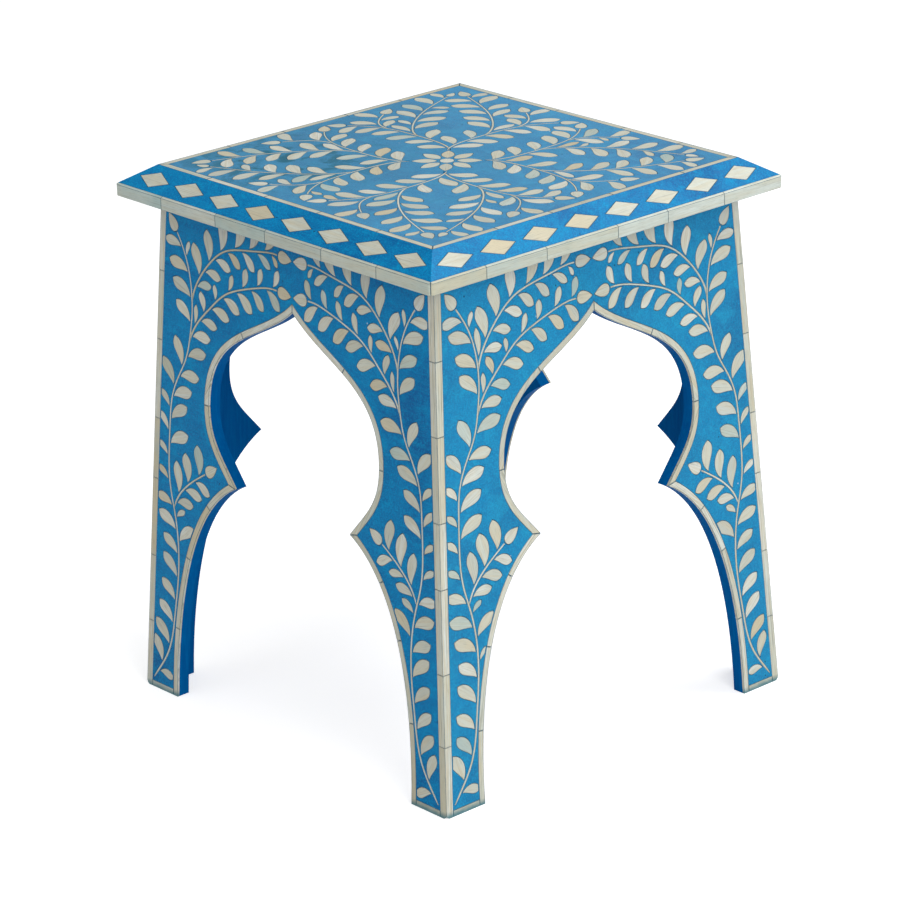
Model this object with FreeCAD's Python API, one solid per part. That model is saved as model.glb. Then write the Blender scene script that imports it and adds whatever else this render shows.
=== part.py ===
import FreeCAD, Part
import itertools
import math
import os
import random

# Low stool of the Moroccan kind: a bevelled square top on four leaning panels, each cut to a
# pointed arch, with bone pieces set in coloured resin over a wooden body. Millimetres, Z up,
# the origin on the floor under the middle of the top. The front panel faces -Y.

# Sizes of the whole stool
stool_height = 457.0
top_width = 381.0
overhang = 26.3
splay = 24.4

# The top board and its bevel
top_thickness = 25.4
edge_height = 9.4
bevel_reach = 25.3
edge_corner_radius = 3.5

# The panels and the arch cut in each one
panel_core_thickness = 10.0
head_room = 62.3
crown_rise = 103.0
lobe_rise = 62.5
arch_width = 209.2
cusp_gap = 141.2
foot_breadth = 41.3
foot_corner_radius = 4.0

# Places of the handles that bend the arch, as shares of its sizes
crown_out_share = 0.38
crown_drop_share = 0.335
crown_hold_share = 0.645
lobe_hold_share = 0.45
lobe_in_share = 0.585
lobe_up_share = 0.376
sweep_out_share = 0.735
sweep_drop_share = 0.136
sweep_hold_share = 0.446

# Bone and resin
inlay_thickness = 2.0
side_strip_width = 7.0
arch_strip_width = 5.5
foot_strip_width = 5.5
top_strip_width = 6.0
strip_length = 64.0
joint_gap = 0.3
glue_gap = 0.2
resin_wall = 0.4

# The vine
stem_width = 1.9
leaf_length = 28.0
leaf_width = 15.0
main_spacing = 21.2
upper_spacing = 18.6
lower_spacing = 19.4
cusp_spacing = 17.5
top_spacing = 21.4
leaf_angle = 54.0
bud_length = 17.0
bud_width = 10.5
flower_radius = 29.0
flower_eye_radius = 6.0
petal_width = 11.0

# The diamonds on the bevel
diamond_length = 37.0
diamond_height = 17.0
diamond_pitch = 44.0

# Hidden joinery: blocks in the corners, cleats under the top, and their screws
block_leg = 30.0
block_height = 70.0
cleat_width = 20.0
cleat_height = 20.0
cleat_end_gap = 1.0
screw_length = 32.0
screw_radius = 2.0
screw_head_radius = 4.0
screw_head_depth = 2.6
screw_point_depth = 4.0
screw_fit = 0.05
screw_spacing = 90.0

# One overrun serves every cut that has to pass a surface
overrun = 5.0

# How finely curves are followed: halvings of a search, points on a curve, trim near a corner
halvings = 40
curve_steps = 9
length_steps = 24
tip_trim_share = 0.4

# Stems grow thinner towards their ends and are followed in steps
stem_taper_share = 0.25
stem_foot_share = 0.4
stem_station = 5 * stem_width
min_stem_stations = 8

# How leaves vary, and how they give way where there is little room (angles in degrees)
bud_shares = (1, 0.85, 0.7)
leaf_core_share = 0.3
core_low_share = 0
core_high_share = 0.8
core_steps = 20
leaf_size_shares = (1, 0.92, 0.84, 0.76, 0.68, 0.6, 0.52)
main_leaf_shares = (0.92, 0.95)
upper_leaf_shares = (0.98, 0.74)
lower_leaf_shares = (0.64, 0.82)
cusp_leaf_shares = (1, 0.8)
top_leaf_shares = (0.96, 0.96)
leaf_swings = ((0, -11, 11), (-22, -31))
leaf_uneven_angle = 5
leaf_low_share = 0.9
leaf_high_share = 1.03
far_side_share = 0.45
joint_uneven_share = 0.12
petal_count = 8
full_turn = 360
quarter = full_turn / 4

# Each run of chance starts from a number of its own, so that the stool is the same every time
joint_seed = 3
strip_seed = 7
top_seed = 11
panel_seed = 20

underside = stool_height - top_thickness
top_half = top_width / 2
head_half = top_half - overhang
foot_half = head_half + splay
slant = math.hypot(underside, splay)
taper = splay / slant
edge_top = underside + edge_height
bevel_rise = stool_height - edge_top
bevel_slope = math.hypot(bevel_rise, bevel_reach)
ridge_half = top_half - bevel_reach
panel_depth = inlay_thickness + panel_core_thickness

apex = (0, slant - head_room)
widest = (arch_width / 2, apex[1] - crown_rise)
cusp = (cusp_gap / 2, widest[1] - lobe_rise)
heel = (foot_half - foot_breadth, 0)


def mix(low, high, share):
    return low + (high - low) * share


crown_curve = (
    apex,
    (crown_out_share * widest[0], apex[1] - crown_drop_share * crown_rise),
    (widest[0], widest[1] + crown_hold_share * crown_rise),
    widest,
)
lobe_curve = (
    widest,
    (widest[0], widest[1] - lobe_hold_share * lobe_rise),
    (mix(cusp[0], widest[0], lobe_in_share), cusp[1] + lobe_up_share * lobe_rise),
    cusp,
)
sweep_curve = (
    cusp,
    (mix(cusp[0], heel[0], sweep_out_share), cusp[1] * (1 - sweep_drop_share)),
    (heel[0], sweep_hold_share * cusp[1]),
    heel,
)


# Curves and outlines in a flat frame: u across, v up, the face's outside towards +Z
def flat(place):
    return FreeCAD.Vector(place[0], place[1], 0)


def along(curve, share):
    """The point of a four-point curve at a share of its run."""
    rest = 1 - share
    weights = (rest**3, 3 * share * rest**2, 3 * share**2 * rest, share**3)
    return tuple(sum(w * p[axis] for w, p in zip(weights, curve)) for axis in (0, 1))


def heading(curve, share):
    """The direction of travel along a four-point curve, as a unit vector."""
    rest = 1 - share
    weights = (rest**2, 2 * share * rest, share**2)
    steps = [(b[0] - a[0], b[1] - a[1]) for a, b in zip(curve, curve[1:])]
    du, dv = (sum(w * s[axis] for w, s in zip(weights, steps)) for axis in (0, 1))
    length = math.hypot(du, dv)
    return du / length, dv / length


def shifted(curve, share, distance):
    """A point of the curve, moved square to it into the panel."""
    (u, v), (du, dv) = along(curve, share), heading(curve, share)
    return u - dv * distance, v + du * distance


def mitre(corner, before, after, distance):
    """Where two lines that meet at a corner meet again once both have moved by a distance."""
    first, second = (-before[1], before[0]), (-after[1], after[0])
    reach = distance / (1 + first[0] * second[0] + first[1] * second[1])
    return corner[0] + (first[0] + second[0]) * reach, corner[1] + (first[1] + second[1]) * reach


def share_where(curve, axis, value):
    """The share of a curve's run at which it passes a value of u or v."""
    low, high = 0, 1
    rising = curve[3][axis] > curve[0][axis]
    for _ in range(halvings):
        middle = (low + high) / 2
        if (along(curve, middle)[axis] < value) == rising:
            low = middle
        else:
            high = middle
    return (low + high) / 2


def mirrored(places):
    return [(-u, v) for u, v in places]


def spline(places):
    curve = Part.BSplineCurve()
    curve.interpolate(Points=[flat(p) for p in places])
    return curve.toShape()


def line(start, end):
    return Part.LineSegment(flat(start), flat(end)).toShape()


def outline(places):
    return Part.makePolygon([flat(p) for p in places] + [flat(places[0])])


def plate(wires, top, thickness):
    """A flat piece with its upper face at a height and its holes cut right through."""
    face = Part.makeFace(wires, "Part::FaceMakerBullseye") if len(wires) > 1 else Part.Face(wires[0])
    face.translate(FreeCAD.Vector(0, 0, top))
    return face.extrude(FreeCAD.Vector(0, 0, -thickness))


def bone(wire):
    return plate([wire], 0, inlay_thickness)


def bone_plate(face):
    return face.extrude(FreeCAD.Vector(0, 0, -inlay_thickness))


def between(low, high, count):
    return [mix(low, high, i / count) for i in range(count + 1)]


# The arch
apex_heading = heading(crown_curve, 0)
cusp_before = heading(lobe_curve, 1)
cusp_after = heading(sweep_curve, 0)


def arch_half(distance, floor=0):
    """The arch's edge on the right, sunk into the panel: apex to cusp, and cusp to a level."""
    start = mitre(apex, (apex_heading[0], -apex_heading[1]), apex_heading, distance)
    point = mitre(cusp, cusp_before, cusp_after, distance)
    ray = mitre(cusp, cusp_before, cusp_after, arch_strip_width)
    ray = (ray[0] - cusp[0], ray[1] - cusp[1])
    size = math.hypot(*ray)

    def off_ray(place):
        return (ray[0] * (place[1] - cusp[1]) - ray[1] * (place[0] - cusp[0])) / size

    trim = tip_trim_share * distance
    low, high = 0, 1
    for _ in range(halvings):
        middle = (low + high) / 2
        if shifted(sweep_curve, middle, distance)[1] > floor:
            low = middle
        else:
            high = middle
    upper = [shifted(crown_curve, s, distance) for s in between(0, 1, curve_steps)[1:]]
    upper += [shifted(lobe_curve, s, distance) for s in between(0, 1, curve_steps)[1:-1]]
    lower = [shifted(sweep_curve, s, distance) for s in between(0, low, curve_steps)[1:]]
    upper = [start] + [p for p in upper if off_ray(p) > trim] + [point]
    lower = [point] + [p for p in lower if off_ray(p) < -trim]
    return upper, lower


def arch_run(distance, floor=0):
    """Edges of the whole arch, from the right foot over the apex to the left foot."""
    upper, lower = arch_half(distance, floor)
    right = [spline(lower[::-1]), spline(upper[::-1])]
    left = [spline(mirrored(upper)), spline(mirrored(lower))]
    return right + left, lower[-1]


def side_u(v, inset=0):
    """Half the width of a panel's face at a height, less an inset square to its side."""
    return foot_half - taper * v - inset * math.hypot(1, taper)


def foot_corner():
    """The rounded lower corner on the right: its arc, from the floor line to the side."""
    half_angle = (math.pi / 2 - math.atan(taper)) / 2
    reach = foot_corner_radius / math.tan(half_angle)
    up = (-taper / math.hypot(1, taper), 1 / math.hypot(1, taper))
    start, end = (foot_half - reach, 0), (foot_half + up[0] * reach, up[1] * reach)
    centre = (start[0], foot_corner_radius)
    toward = (foot_half - centre[0], -centre[1])
    scale = foot_corner_radius / math.hypot(*toward)
    middle = (centre[0] + toward[0] * scale, centre[1] + toward[1] * scale)
    return start, middle, end


def arc(start, middle, end):
    return Part.Arc(flat(start), flat(middle), flat(end)).toShape()


# Frames of the faces: each flat piece is made in the face's own frame and set in place
def side_frame(half, base, reach, rise):
    """The frame of a leaning face on the front, from its lower middle point."""
    tilt = math.degrees(math.atan2(rise, reach))
    turn = FreeCAD.Rotation(FreeCAD.Vector(1, 0, 0), tilt)
    return FreeCAD.Placement(FreeCAD.Vector(0, -half, base), turn)


panel_frame = side_frame(foot_half, 0, splay, underside)
bevel_frame = side_frame(top_half, edge_top, bevel_reach, bevel_rise)
top_frame = FreeCAD.Placement(FreeCAD.Vector(0, 0, stool_height), FreeCAD.Rotation())
sides = {"front": 0, "right": 1, "back": 2, "left": 3}


def put(shape, frame):
    return shape.transformed(frame.toMatrix())


def turned(shape, side):
    copy = shape.copy()
    copy.rotate(FreeCAD.Vector(0, 0, 0), FreeCAD.Vector(0, 0, 1), quarter * side)
    return copy


def square_prism(low_half, low_z, high_half, high_z):
    """A square block whose sides may lean inward."""
    signs = ((-1, -1), (1, -1), (1, 1), (-1, 1))
    rings = []
    for half, z in ((low_half, low_z), (high_half, high_z)):
        ring = [FreeCAD.Vector(sx * half, sy * half, z) for sx, sy in signs]
        rings.append(Part.makePolygon(ring + ring[:1]))
    return Part.makeLoft(rings, True, True)


def wedge():
    """The quarter of space that the front panel may fill: mitred, above the floor, under the top."""
    reach = foot_half + overrun
    corners = ((0, 0), (-reach, -reach), (reach, -reach))
    return Part.Face(outline(corners)).extrude(FreeCAD.Vector(0, 0, underside))


quarter_space = wedge()


def save(name, solids):
    Part.makeCompound(solids).exportStep("parts/" + name + ".step")
    print(name, len(solids))


# Joints: thin cuts that part a run of bone into single strips
def saw(centre, across, reach, low=-inlay_thickness, high=0):
    """A thin upright cut at a point, running in the direction across, both ways."""
    length = math.hypot(*across)
    run = (across[0] / length * reach, across[1] / length * reach)
    wide = (-across[1] / length * joint_gap / 2, across[0] / length * joint_gap / 2)
    corners = [
        (centre[0] + a * run[0] + b * wide[0], centre[1] + a * run[1] + b * wide[1])
        for a, b in ((-1, -1), (1, -1), (1, 1), (-1, 1))
    ]
    return plate([outline(corners)], high + overrun, high - low + 2 * overrun)


def joint_shares(length, chance):
    """Where the joints of a run lie, as shares of its length, a little uneven."""
    count = max(1, round(length / strip_length))
    uneven = joint_uneven_share
    return [(i + chance.uniform(-uneven, uneven)) / count for i in range(1, count)]


def run_length(curve):
    places = [along(curve, share) for share in between(0, 1, length_steps)]
    return sum(math.dist(a, b) for a, b in zip(places, places[1:]))


def arch_saws(chance):
    """Cuts across the arch's strip: at the apex, at the cusps and along the curves."""
    middle = arch_strip_width / 2
    cuts = [saw(apex, (0, 1), slant)]
    corner = mitre(cusp, cusp_before, cusp_after, arch_strip_width)
    for sign in (1, -1):
        ray = ((corner[0] - cusp[0]) * sign, corner[1] - cusp[1])
        cuts.append(saw((cusp[0] * sign, cusp[1]), ray, 2 * arch_strip_width))
        for curve in (crown_curve, lobe_curve, sweep_curve):
            for share in joint_shares(run_length(curve), chance):
                u, v = shifted(curve, share, middle)
                du, dv = heading(curve, share)
                cuts.append(saw((u * sign, v), (-dv * sign, du), arch_strip_width))
        u, v = shifted(crown_curve, 1, middle)
        cuts.append(saw((u * sign, v), (1, 0), arch_strip_width))
    return cuts


# Room for the vine: discs already taken, kept in square cells so that a test is quick
class Room:
    def __init__(self, cell):
        self.cell = cell
        self.discs = {}

    def key(self, place):
        return math.floor(place[0] / self.cell), math.floor(place[1] / self.cell)

    def take(self, discs):
        for disc in discs:
            self.discs.setdefault(self.key(disc), []).append(disc)

    def clear(self, discs, wall):
        for u, v, radius in discs:
            column, row = self.key((u, v))
            for i in (column - 1, column, column + 1):
                for j in (row - 1, row, row + 1):
                    for a, b, other in self.discs.get((i, j), ()):
                        if math.hypot(u - a, v - b) < radius + other + wall:
                            return False
        return True


def edge_discs(points, spacing):
    """Discs of no size along a closed outline."""
    discs = []
    for a, b in zip(points, points[1:] + points[:1]):
        count = max(1, math.ceil(math.dist(a, b) / spacing))
        discs += [(mix(a[0], b[0], i / count), mix(a[1], b[1], i / count), 0) for i in range(count)]
    return discs


# A petal shape along its own axis: each half is a curve, in shares of length and of width
leaf_halves = (((0.22, 0.60), (0.77, 0.76)), ((0.38, -0.05), (0.74, -0.76)))
bud_halves = (((0.02, 0.66), (0.52, 0.70)), ((0.02, -0.66), (0.52, -0.70)))
petal_halves = (((0.12, 0.42), (0.50, 0.88)), ((0.12, -0.42), (0.50, -0.88)))
disc_shares = (0, 0.08, 0.2, 0.35, 0.5, 0.65, 0.8, 0.92)
core_shares = between(core_low_share, core_high_share, core_steps)


class Leaf:
    """A leaf, bud or petal: its foot, the angle it points at, its length, width and shape."""

    def __init__(self, foot, angle, length, width, halves, flip=1):
        self.foot, self.angle, self.length = foot, angle, length
        self.width, self.halves, self.flip = width, halves, flip
        self.limited = False

    def curves(self, grow=0):
        """Both halves as four-point curves, grown by a gap all round."""
        cos, sin = math.cos(self.angle), math.sin(self.angle)
        length, width = self.length + 4 * grow, self.width + 2 * grow
        result = []
        for first, second in self.halves:
            places = []
            for x, y in ((0, 0), first, second, (1, 0)):
                x, y = x * length - 2 * grow, y * width * self.flip
                places.append((self.foot[0] + x * cos - y * sin, self.foot[1] + x * sin + y * cos))
            result.append(places)
        return result

    def wire(self, grow=0):
        edges = []
        for places in self.curves(grow):
            curve = Part.BezierCurve()
            curve.setPoles([flat(p) for p in places])
            edges.append(curve.toShape())
        edges[1].reverse()
        return Part.Wire(edges)

    def room(self, shares=disc_shares, width_share=1):
        discs = []
        upper, lower = self.curves()
        for share in shares:
            a, b = along(upper, share), along(lower, share)
            radius = math.dist(a, b) / 2 * width_share
            discs.append(((a[0] + b[0]) / 2, (a[1] + b[1]) / 2, radius))
        return discs

    def face(self, limit, grow=0):
        """The flat face, cut off level with the limit where the leaf runs into it."""
        face = Part.Face(self.wire(grow))
        if self.limited:
            face = max(face.common(limit).Faces, key=lambda part: part.Area)
        return face


class Stem:
    """A thin bone line along a smooth run of points, with a bud at its end."""

    def __init__(self, points):
        self.edge = spline(points)
        self.length = self.edge.Length
        self.start, self.end = 0, self.length

    def at(self, distance):
        value = self.edge.getParameterByLength(min(max(distance, 0), self.length))
        place, way = self.edge.valueAt(value), self.edge.tangentAt(value)
        return (place.x, place.y), math.atan2(way.y, way.x)

    def half_width(self, distance):
        return stem_width / 2 * (1 - stem_taper_share * distance / self.length)

    def stations(self, spacing):
        count = max(2, round((self.end - self.start) / spacing))
        return between(self.start, self.end, count)

    def discs(self):
        result = []
        for distance in self.stations(stem_width):
            (u, v), _ = self.at(distance)
            result.append((u, v, self.half_width(distance)))
        return result

    def fit(self, rooms, wall):
        """Keeps the longest stretch of the stem that is clear of everything placed so far."""
        best, run = [], []
        for distance in self.stations(stem_width):
            (u, v), _ = self.at(distance)
            if all(r.clear([(u, v, self.half_width(distance))], wall) for r in rooms):
                run.append(distance)
                best = max(best, run, key=len)
            else:
                run = []
        if len(best) > min_stem_stations:
            self.start, self.end = best[0], best[-1]
            return True
        return False

    def wire(self, grow=0):
        left, right = [], []
        for distance in self.stations(stem_station):
            (u, v), angle = self.at(distance)
            reach = self.half_width(distance) + grow
            step = 0
            if distance == self.start:
                step = -grow
                reach = self.half_width(distance) * stem_foot_share + grow
            if distance == self.end:
                step = grow
            cos, sin = math.cos(angle), math.sin(angle)
            left.append((u + step * cos - reach * sin, v + step * sin + reach * cos))
            right.append((u + step * cos + reach * sin, v + step * sin - reach * cos))
        edges = [spline(left), line(left[-1], right[-1]), spline(right[::-1]), line(right[0], left[0])]
        return Part.Wire(edges)


def room_wall():
    """The least resin between two pockets, with a glue gap on each side of it."""
    return 2 * glue_gap + resin_wall


def ahead(place, angle, distance):
    return place[0] + distance * math.cos(angle), place[1] + distance * math.sin(angle)


def end_bud(stem, rooms):
    """The largest bud that has room at a stem's end."""
    place, angle = stem.at(stem.end)
    foot = ahead(place, angle, room_wall() + glue_gap)
    for share in bud_shares:
        bud = Leaf(foot, angle, bud_length * share, bud_width * share, bud_halves)
        if all(r.clear(bud.room(), room_wall()) for r in rooms):
            return bud
    return None


def side_leaf(stem, distance, side, length_share, rooms, chance):
    """The largest leaf that has room at a place on a stem. Near the resin's edge it may be cut."""
    room, edge = rooms
    uneven = chance.uniform(-leaf_uneven_angle, leaf_uneven_angle)
    scale = chance.uniform(leaf_low_share, leaf_high_share) * length_share
    place, way = stem.at(distance)
    for swings in leaf_swings:
        for size, swing in itertools.product(leaf_size_shares, swings):
            turn = math.radians(leaf_angle + uneven + swing)
            slender = min(1, math.sqrt(math.sin(turn) / math.sin(math.radians(leaf_angle))))
            reach = (stem.half_width(distance) + room_wall() + glue_gap) / math.sin(turn)
            angle = way + side * turn
            length, width = leaf_length * scale * size, leaf_width * scale * size * slender
            leaf = Leaf(ahead(place, angle, reach), angle, length, width, leaf_halves, -side)
            core = leaf.room(core_shares, leaf_core_share)
            if room.clear(leaf.room(), room_wall()) and edge.clear(core, room_wall()):
                leaf.limited = not edge.clear(leaf.room(disc_shares + (1,)), room_wall())
                return leaf
    return None


def leaf_places(stem, first, side, spacing, length_shares):
    """Places along a stem for leaves on both sides in turn, in the order in which they grow."""
    places = []
    distance = stem.start + first * spacing
    while distance < stem.end:
        places.append((stem, distance, side, length_shares[side]))
        places.append((stem, distance + far_side_share * spacing, -side, length_shares[-side]))
        distance += spacing
    return [p for p in places if p[1] < stem.end]


def grow_vine(stem_plans, room, edge_points, chance):
    """Stems, buds and leaves of one face, each placed only where there is resin round it."""
    stems, buds, leaves, rows = [], [], [], []
    edge = Room(leaf_length)
    edge.take(edge_discs(edge_points, stem_width))
    rooms = room, edge
    for points, *row in stem_plans:
        stem = Stem(points)
        if stem.fit(rooms, room_wall()):
            stems.append(stem)
            rows.append(leaf_places(stem, *row))
    for stem in stems:
        bud = end_bud(stem, rooms)
        if bud:
            buds.append(bud)
            room.take(bud.room())
    for stem in stems:
        room.take(stem.discs())
    longest = max(len(row) for row in rows)
    for order in range(longest):
        for row in rows:
            if order < len(row):
                leaf = side_leaf(*row[order], rooms, chance)
                if leaf:
                    leaves.append(leaf)
                    room.take(leaf.room())
    return stems, buds, leaves


def stem_faces(stems):
    """The stems' flat faces: each ends where it meets a stem that came before it."""
    whole = [Part.Face(s.wire()) for s in stems]
    grown = [Part.Face(s.wire(glue_gap)) for s in stems]
    faces = []
    for index, face in enumerate(whole):
        for other in grown[:index]:
            if face.BoundBox.intersect(other.BoundBox):
                face = max(face.cut(other).Faces, key=lambda part: part.Area)
        faces.append(face)
    return faces


def stem_pockets(stems):
    """The edges of the pockets that the stems lie in, one for each vine of joined stems."""
    grown = [bone(s.wire(glue_gap)) for s in stems]
    joined = grown[0].fuse(grown[1:]).removeSplitter()
    return [face.OuterWire for face in joined.Faces if face.CenterOfMass.z > -glue_gap]


def leaf_pockets(leaves, limit):
    return [leaf.face(limit, glue_gap).OuterWire for leaf in leaves]


# The panel's vine, on its right half. A leg point is a share of the panel's height and of the
# way from the arch's strip to the side strip; a crown point is a share of the way out to the
# side strip and of the way up from the arch's strip to the top.
def leg_point(height_share, across_share):
    v = height_share * slant
    curve = sweep_curve if v < cusp[1] else lobe_curve
    inner = along(curve, share_where(curve, 1, v))[0] + arch_strip_width
    return mix(inner, side_u(v, side_strip_width), across_share), v


def crown_point(across_share, rise_share):
    u = across_share * side_u(slant, side_strip_width)
    low = widest[1]
    if u < widest[0]:
        low = along(crown_curve, share_where(crown_curve, 0, u))[1]
    return u, mix(low + arch_strip_width, slant, rise_share)


main_stem_shares = (
    ((0.014, 0.99), (0.05, 0.60), (0.082, 0.30), (0.122, 0.12), (0.174, 0.075), (0.24, 0.11),
     (0.304, 0.27), (0.371, 0.54), (0.43, 0.77), (0.504, 0.84), (0.56, 0.79), (0.608, 0.74)),
    ((0.915, 0.06), (0.85, 0.174), (0.815, 0.30), (0.797, 0.42), (0.802, 0.56), (0.835, 0.69),
     (0.875, 0.77), (0.915, 0.83)),
)
upper_branch_shares = ((0.798, 0.455), (0.785, 0.535), (0.738, 0.622), (0.655, 0.685),
                       (0.54, 0.715), (0.404, 0.732), (0.277, 0.736), (0.165, 0.738), (0.118, 0.722))
lower_branch_shares = ((0.829, 0.245), (0.80, 0.318), (0.754, 0.385), (0.659, 0.43),
                       (0.532, 0.385), (0.404, 0.383), (0.277, 0.376), (0.165, 0.345), (0.12, 0.307))
cusp_branch_shares = ((0.388, 0.607), (0.410, 0.585), (0.437, 0.51), (0.461, 0.43), (0.479, 0.34))


def panel_stem_plans():
    """Each stem's points, its first leaf's place and side, and its leaves' spacing and sizes."""
    legs, crowns = main_stem_shares
    main = [leg_point(*s) for s in legs] + [crown_point(*s) for s in crowns]
    upper = [crown_point(*s) for s in upper_branch_shares]
    lower = [crown_point(*s) for s in lower_branch_shares]
    cusped = [leg_point(*s) for s in cusp_branch_shares]
    plans = [
        (main, 0.45, 1, main_spacing, main_leaf_shares),
        (lower, 0.5, 1, lower_spacing, lower_leaf_shares),
        (upper, 0.6, -1, upper_spacing, upper_leaf_shares),
        (cusped, 0.3, 1, cusp_spacing, cusp_leaf_shares),
    ]
    both = []
    for points, first, side, spacing, (outer, inner) in plans:
        both.append((points, first, side, spacing, {-1: outer, 1: inner}))
        both.append((mirrored(points), first, -side, spacing, {1: outer, -1: inner}))
    return both


def panel_resin_outline(gap=glue_gap):
    """The resin's edge on a panel, as a wire and as points for the vine to keep clear of."""
    floor = foot_strip_width + gap
    ceiling = slant - gap
    inset = side_strip_width + gap
    edges, inner = arch_run(arch_strip_width + gap, floor)
    outer = (side_u(floor, inset), floor)
    high = (side_u(ceiling, inset), ceiling)
    ends = [(-high[0], ceiling), high, (outer[0], inner[1]), inner]
    corners = [(-inner[0], inner[1]), (-outer[0], inner[1])] + ends
    wire = Part.Wire(edges + [line(a, b) for a, b in zip(corners, corners[1:])])
    upper, lower = arch_half(arch_strip_width + gap, floor)
    right = (lower[::-1] + upper[:-1][::-1])
    left = mirrored(upper[1:] + lower[1:])
    points = right + left + corners[1:-1]
    return wire, points


def panel_bones():
    """The strips round a panel, still in the panel's own frame."""
    start, middle, end = foot_corner()
    low = -overrun
    high = slant + overrun
    inner = side_u(high, side_strip_width)
    side_edges = [
        line((side_u(low, side_strip_width), low), (start[0], low)),
        line((start[0], low), start),
        arc(start, middle, end),
        line(end, (side_u(high), high)),
        line((side_u(high), high), (inner, high)),
        line((inner, high), (side_u(low, side_strip_width), low)),
    ]
    side_strip = bone(Part.Wire(side_edges))
    edges, foot = arch_run(0)
    outer_edges, outer_foot = arch_run(arch_strip_width)
    ends = []
    for sign in (1, -1):
        inside, outside = (foot[0] * sign, foot[1]), (outer_foot[0] * sign, outer_foot[1])
        ends.append([line(inside, (inside[0], low)), line((inside[0], low), (outside[0], low)),
                     line((outside[0], low), outside)])
    arch_strip = bone(Part.Wire(edges + ends[1] + outer_edges[::-1] + ends[0][::-1]))
    inset = side_strip_width + joint_gap
    upper, lower = arch_half(arch_strip_width + joint_gap, foot_strip_width)
    base = arch_half(arch_strip_width + joint_gap)[1][-1]
    foot_strip = bone(outline([
        (base[0], low), (side_u(low, inset), low), (side_u(lower[-1][1], inset), lower[-1][1]), lower[-1],
    ]))
    return side_strip, arch_strip, foot_strip


def mirror_piece(shape):
    return shape.mirror(FreeCAD.Vector(0, 0, 0), FreeCAD.Vector(1, 0, 0))


def trimmed(shape, cuts=()):
    """A piece of the front panel set in place, mitred and cut off level, with its joints sawn."""
    if cuts:
        shape = shape.cut(Part.makeCompound(list(cuts)))
    return put(shape, panel_frame).common(quarter_space).Solids


def panel_core():
    start, middle, end = foot_corner()
    low, high = -overrun, slant + overrun
    arch, foot = arch_run(0)
    edges = list(arch)
    edges.append(line((-foot[0], foot[1]), (-foot[0], low)))
    edges.append(line((-foot[0], low), (-start[0], low)))
    edges.append(line((-start[0], low), (-start[0], 0)))
    edges.append(arc((-start[0], 0), (-middle[0], middle[1]), (-end[0], end[1])))
    edges.append(line((-end[0], end[1]), (-side_u(high), high)))
    edges.append(line((-side_u(high), high), (side_u(high), high)))
    edges.append(line((side_u(high), high), end))
    edges.append(arc(end, middle, start))
    edges.append(line(start, (start[0], low)))
    edges.append(line((start[0], low), (foot[0], low)))
    edges.append(line((foot[0], low), foot))
    return trimmed(plate([Part.Wire(edges)], -inlay_thickness, panel_core_thickness))


def panel_strips(chance):
    side_strip, arch_strip, foot_strip = panel_bones()
    side_cuts = []
    for share in joint_shares(slant, chance):
        v = share * slant
        side_cuts.append(saw((side_u(v, side_strip_width / 2), v), (1, 0), side_strip_width))
    sides_of_panel = trimmed(side_strip, side_cuts)
    arch_pieces = trimmed(arch_strip, arch_saws(chance))
    feet = trimmed(foot_strip)
    return sides_of_panel, arch_pieces, feet


def make_panels():
    core = panel_core()
    chance = random.Random(strip_seed)
    side_pieces, arch_pieces, feet = panel_strips(chance)
    side_pieces += [mirror_piece(s) for s in side_pieces]
    feet += [mirror_piece(s) for s in feet]
    wire, points = panel_resin_outline()
    pocket_limit = Part.Face(panel_resin_outline(glue_gap + resin_wall)[0])
    bone_limit = Part.Face(panel_resin_outline(room_wall())[0])
    for name, side in sides.items():
        chance = random.Random(panel_seed + side)
        stems, buds, leaves = grow_vine(panel_stem_plans(), Room(leaf_length), points, chance)
        pockets = stem_pockets(stems) + leaf_pockets(buds + leaves, pocket_limit)
        resin = plate([wire] + pockets, 0, inlay_thickness)
        flats = {
            "resin": resin.Solids,
            "stems": [bone_plate(f) for f in stem_faces(stems)],
            "buds": [bone(b.wire()) for b in buds],
            "leaves": [bone_plate(b.face(bone_limit)) for b in leaves],
        }
        for kind, solids in flats.items():
            save(name + "_" + kind, [turned(put(s, panel_frame), side) for s in solids])
        placed = {
            "panel": core,
            "side_strips": side_pieces,
            "arch_strips": arch_pieces,
            "foot_strips": feet,
        }
        for kind, solids in placed.items():
            save(name + "_" + kind, [turned(s, side) for s in solids])


# The top
def bevel_half(z, depth=0):
    """Half the width of the bevel's plane at a height, sunk square to it by a depth."""
    return top_half - (z - edge_top) * bevel_reach / bevel_rise - depth * bevel_slope / bevel_rise


def bevel_level(half, depth=0):
    """The height at which the bevel's plane, sunk by a depth, has a half width."""
    return edge_top + (top_half - depth * bevel_slope / bevel_rise - half) * bevel_rise / bevel_reach


def slab(low_half, high_half, low, high):
    return square_prism(low_half, low, high_half, high)


def board_blank(side_depth):
    """The top's body: a square slab with a bevelled upper part, sunk on every face but the lower."""
    half = top_half - side_depth
    shoulder = bevel_level(half, side_depth)
    high = stool_height - side_depth
    base = slab(half, half, underside, shoulder)
    roof = slab(half, bevel_half(high, side_depth), shoulder, high)
    return base.fuse(roof).removeSplitter()


def square_saws(half, width, low, high):
    """Cuts that part a square ring into strips: mitres at the corners, and joints between."""
    chance = random.Random(joint_seed)
    cuts = []
    for side in range(len(sides)):
        cuts.append(turned(saw((half, -half), (1, -1), 2 * width, low, high), side))
        for share in joint_shares(2 * half, chance):
            place = (mix(-half, half, share), width / 2 - half)
            cuts.append(turned(saw(place, (0, 1), width, low, high), side))
    return Part.makeCompound(cuts)


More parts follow.
